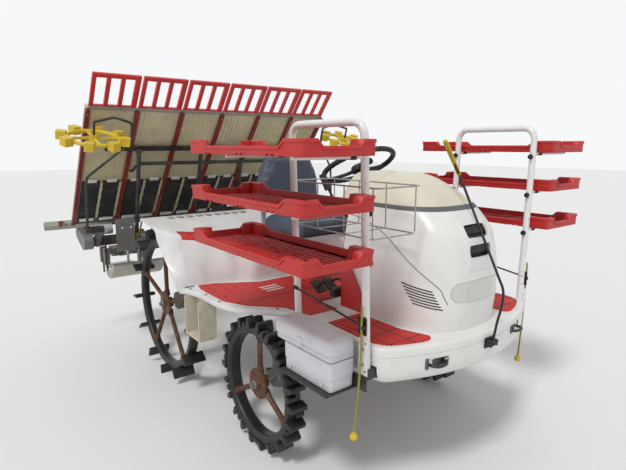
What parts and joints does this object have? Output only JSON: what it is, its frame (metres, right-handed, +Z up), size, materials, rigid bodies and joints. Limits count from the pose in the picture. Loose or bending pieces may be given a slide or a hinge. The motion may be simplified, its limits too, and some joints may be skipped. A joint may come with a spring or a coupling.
{
  "type": "rice transplanter",
  "caption": "Riding rice transplanter with lugged wheels, rounded bonnet, seedling racks and a raised planting unit with sloping seedling table.",
  "frame": {"origin": "on the ground under the middle of the machine's length and width", "axes": "+X forward, +Y to the driver's left, +Z up"},
  "size_m": [3.0802, 2.3286, 1.8777],
  "materials": {
    "black_steel": "satin, chipped at the edges",
    "engine_iron": "painted cast iron, hidden under the bonnet",
    "cast_alloy": "sand cast, dusty",
    "white_panel": "semi gloss moulded panel",
    "black_plastic": "grained",
    "lamp_lens": "clear lens over a bright reflector",
    "cream_plastic": "sun-aged satin plastic",
    "red_mat": "ribbed slip-resistant mat",
    "red_panel": "semi gloss moulded plastic",
    "seat_pan": "satin",
    "seat_cover": "padded vinyl",
    "white_tube": "semi gloss tube",
    "red_tray": "moulded, lightly scuffed",
    "steel_wire": "bare wire",
    "grey_plastic": "semi gloss",
    "marker_rods": "painted rods",
    "wheel_steel": "black rim with rusted hub, spokes and lugs",
    "rod_chrome": "polished rod",
    "float_plastic": "moulded float, muddy",
    "rail_steel": "dull plated rail",
    "divider_red": "painted channel",
    "belt_rubber": "ribbed feed belt",
    "yellow_plastic": "moulded plastic"
  },
  "bodies": {
    "chassis": {"chassis_frame": "black_steel", "link_lugs": "black_steel", "engine_block": "engine_iron", "transmission_case": "cast_alloy", "front_axle": "cast_alloy", "rear_axle": "cast_alloy", "bonnet": "white_panel", "bonnet_grilles": "black_plastic", "headlight": "lamp_lens", "dash_cowl": "cream_plastic", "front_apron": "white_panel", "deck": "white_panel", "fender": "white_panel", "deck_mats": "red_mat", "foot_steps": "cream_plastic", "side_panels": "red_panel", "seat_base": "seat_pan", "seat_cushion": "seat_cover", "seat_back": "seat_cover", "steering_column": "black_steel", "driver_controls": "black_steel", "rack_frames": "white_tube", "rack_trays": "red_tray", "wire_basket": "steel_wire", "tool_box": "grey_plastic", "side_markers": "marker_rods"},
    "steering_wheel": {"steering_wheel": "black_plastic"},
    "knuckle_left": {"knuckle_left": "cast_alloy"},
    "knuckle_right": {"knuckle_right": "cast_alloy"},
    "tie_rod": {"tie_rod": "black_steel"},
    "front_wheel_left": {"front_wheel_left": "wheel_steel"},
    "front_wheel_right": {"front_wheel_right": "wheel_steel"},
    "rear_wheel_left": {"rear_wheel_left": "wheel_steel"},
    "rear_wheel_right": {"rear_wheel_right": "wheel_steel"},
    "lift_links": {"lower_links": "black_steel"},
    "top_link": {"top_link": "black_steel"},
    "lift_barrel": {"lift_barrel": "black_steel"},
    "lift_rod": {"lift_rod": "rod_chrome"},
    "planting_unit": {"planting_frame": "black_steel", "planting_cases": "cast_alloy", "floats": "float_plastic", "guide_rail": "rail_steel"},
    "planting_rotors": {"planting_rotors": "cast_alloy"},
    "seedling_table": {"table_panels": "cream_plastic", "table_dividers": "divider_red", "table_extensions": "red_panel", "feed_belts": "belt_rubber"},
    "marker_arm_left": {"marker_arm_left": "black_steel"},
    "marker_arm_right": {"marker_arm_right": "black_steel"},
    "marker_wheel_left": {"marker_wheel_left": "yellow_plastic"},
    "marker_wheel_right": {"marker_wheel_right": "yellow_plastic"},
    "centre_marker": {"centre_marker": "black_steel"}
  },
  "joints": [
    {"name": "steer_left", "type": "hinge", "parent": "chassis", "child": "knuckle_left", "pos_m": [0.66, 0.475, 0.32326], "axis": [0, 0, 1], "range_deg": [-38, 38]},
    {"name": "steer_right", "type": "hinge", "parent": "chassis", "child": "knuckle_right", "pos_m": [0.66, -0.475, 0.32326], "axis": [0, 0, 1], "range_deg": [-38, 38]},
    {"name": "tie_rod_pin", "type": "hinge", "parent": "knuckle_left", "child": "tie_rod", "pos_m": [0.54, 0.475, 0.32326], "axis": [0, 0, 1], "range_deg": [-38, 38]},
    {"name": "steering_wheel_turn", "type": "hinge", "parent": "chassis", "child": "steering_wheel", "pos_m": [0.68, 0, 1.345], "axis": [-0.4695, 0, 0.8829], "range_deg": [-380, 380]},
    {"name": "front_wheel_left_spin", "type": "hinge", "parent": "knuckle_left", "child": "front_wheel_left", "pos_m": [0.66, 0.6, 0.32326], "axis": [0, 1, 0], "continuous": true},
    {"name": "front_wheel_right_spin", "type": "hinge", "parent": "knuckle_right", "child": "front_wheel_right", "pos_m": [0.66, -0.6, 0.32326], "axis": [0, 1, 0], "continuous": true},
    {"name": "rear_wheel_left_spin", "type": "hinge", "parent": "chassis", "child": "rear_wheel_left", "pos_m": [-0.39, 0.64, 0.46287], "axis": [0, 1, 0], "continuous": true},
    {"name": "rear_wheel_right_spin", "type": "hinge", "parent": "chassis", "child": "rear_wheel_right", "pos_m": [-0.39, -0.64, 0.46287], "axis": [0, 1, 0], "continuous": true},
    {"name": "lift", "type": "hinge", "parent": "chassis", "child": "lift_links", "pos_m": [-0.32, 0, 0.63], "axis": [0, -1, 0], "range_deg": [0, 44.9]},
    {"name": "unit_level", "type": "hinge", "parent": "lift_links", "child": "planting_unit", "pos_m": [-0.86022, 0, 0.82983], "axis": [0, -1, 0], "range_deg": [-44.9, 0]},
    {"name": "top_link_turn", "type": "hinge", "parent": "chassis", "child": "top_link", "pos_m": [-0.24, 0, 0.86], "axis": [0, -1, 0], "range_deg": [0, 44.9]},
    {"name": "barrel_turn", "type": "hinge", "parent": "chassis", "child": "lift_barrel", "pos_m": [0.14, 0, 0.74], "axis": [0, -1, 0], "range_deg": [0, 8.66]},
    {"name": "rod_slide", "type": "slide", "parent": "lift_barrel", "child": "lift_rod", "axis": [-0.9952, 0, 0.0976], "range_m": [0, 0.0971]},
    {"name": "table_slide", "type": "slide", "parent": "planting_unit", "child": "seedling_table", "axis": [0, 1, 0], "range_m": [-0.08, 0.2]},
    {"name": "planting_rotor_spin", "type": "hinge", "parent": "planting_unit", "child": "planting_rotors", "pos_m": [-1.37, 0, 0.64], "axis": [0, 1, 0], "continuous": true},
    {"name": "marker_arm_left_swing", "type": "hinge", "parent": "planting_unit", "child": "marker_arm_left", "pos_m": [-0.74, 1, 0.92], "axis": [-1, 0, 0], "range_deg": [0, 110]},
    {"name": "marker_arm_right_swing", "type": "hinge", "parent": "planting_unit", "child": "marker_arm_right", "pos_m": [-0.74, -1, 0.92], "axis": [1, 0, 0], "range_deg": [0, 110]},
    {"name": "marker_wheel_left_spin", "type": "hinge", "parent": "marker_arm_left", "child": "marker_wheel_left", "pos_m": [-0.54, 0.97, 1.49], "axis": [0.309, 0, 0.9511], "continuous": true},
    {"name": "marker_wheel_right_spin", "type": "hinge", "parent": "marker_arm_right", "child": "marker_wheel_right", "pos_m": [-0.54, -0.97, 1.49], "axis": [0.309, 0, 0.9511], "continuous": true},
    {"name": "centre_marker_tilt", "type": "hinge", "parent": "chassis", "child": "centre_marker", "pos_m": [1.503, 0, 0.65], "axis": [0, 1, 0], "range_deg": [0, 95]}
  ],
  "couplings": [
    {"joint": "steer_right", "follows": "steer_left", "ratio": 1},
    {"joint": "tie_rod_pin", "follows": "steer_left", "ratio": -1},
    {"joint": "steering_wheel_turn", "follows": "steer_left", "ratio": 10},
    {"joint": "unit_level", "follows": "lift", "ratio": -1},
    {"joint": "top_link_turn", "follows": "lift", "ratio": 1},
    {"joint": "barrel_turn", "follows": "lift", "ratio": 0.19168},
    {"joint": "rod_slide", "follows": "lift", "m_per_rad": 0.12346}
  ]
}
